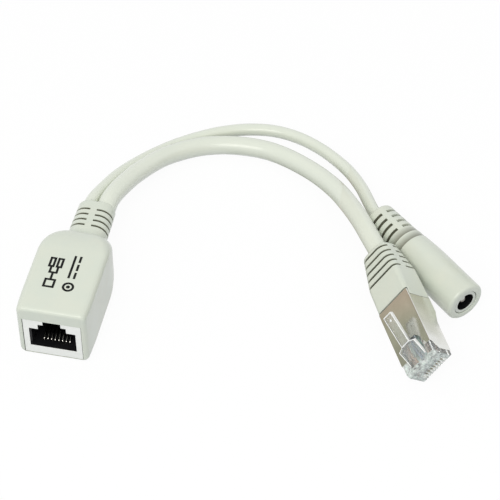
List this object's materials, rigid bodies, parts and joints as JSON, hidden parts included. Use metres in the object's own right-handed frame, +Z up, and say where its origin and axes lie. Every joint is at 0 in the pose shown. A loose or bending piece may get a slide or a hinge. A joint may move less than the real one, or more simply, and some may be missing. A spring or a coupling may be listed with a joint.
{
  "type": "power over ethernet injector",
  "caption": "Passive injector lead: modular data socket in a moulded housing, with one cable to a shielded data plug and one to a round power socket.",
  "frame": {"origin": "bottom centre of the socket housing, half way between its face and the end of its neck", "axes": "+Z up from the surface it lies on, -Y out of the data socket's opening, +X towards the plug and the power socket"},
  "size_m": [0.119, 0.0977, 0.018],
  "materials": {
    "soft_pvc": "satin, soft moulded PVC",
    "jack_plastic": "satin, injection moulded",
    "gold_plate": "polished plating",
    "nickel_plate": "bright nickel plating",
    "clear_plastic": "clear, polished",
    "tinned_copper": "plain",
    "wire_white_orange": "insulation",
    "wire_orange": "insulation",
    "wire_white_green": "insulation",
    "wire_blue": "insulation",
    "wire_white_blue": "insulation",
    "wire_green": "insulation",
    "wire_white_brown": "insulation",
    "wire_brown": "insulation",
    "wire_red": "insulation",
    "wire_black": "insulation"
  },
  "bodies": {
    "root": {"socket_housing": "soft_pvc", "jack_insert": "jack_plastic", "contact_carrier": "jack_plastic", "jack_contact_1": "gold_plate", "jack_contact_2": "gold_plate", "jack_contact_3": "gold_plate", "jack_contact_4": "gold_plate", "jack_contact_5": "gold_plate", "jack_contact_6": "gold_plate", "jack_contact_7": "gold_plate", "jack_contact_8": "gold_plate", "data_wire_1": "wire_white_orange", "data_wire_2": "wire_orange", "data_wire_3": "wire_white_green", "data_wire_6": "wire_green", "power_lead_positive": "wire_red", "power_lead_negative": "wire_black", "power_link_positive": "tinned_copper", "power_link_negative": "tinned_copper", "data_cable": "soft_pvc", "power_cable": "soft_pvc", "plug_body": "clear_plastic", "plug_shield": "nickel_plate", "plug_contact_1": "gold_plate", "plug_contact_2": "gold_plate", "plug_contact_3": "gold_plate", "plug_contact_4": "gold_plate", "plug_contact_5": "gold_plate", "plug_contact_6": "gold_plate", "plug_contact_7": "gold_plate", "plug_contact_8": "gold_plate", "plug_wire_1": "wire_white_orange", "plug_wire_2": "wire_orange", "plug_wire_3": "wire_white_green", "plug_wire_4": "wire_blue", "plug_wire_5": "wire_white_blue", "plug_wire_6": "wire_green", "plug_wire_7": "wire_white_brown", "plug_wire_8": "wire_brown", "plug_boot": "soft_pvc", "power_socket_body": "soft_pvc", "power_socket_insert": "jack_plastic", "power_socket_pin": "nickel_plate", "power_socket_spring": "nickel_plate", "power_socket_lead_positive": "wire_red", "power_socket_lead_negative": "wire_black"}
  },
  "joints": []
}
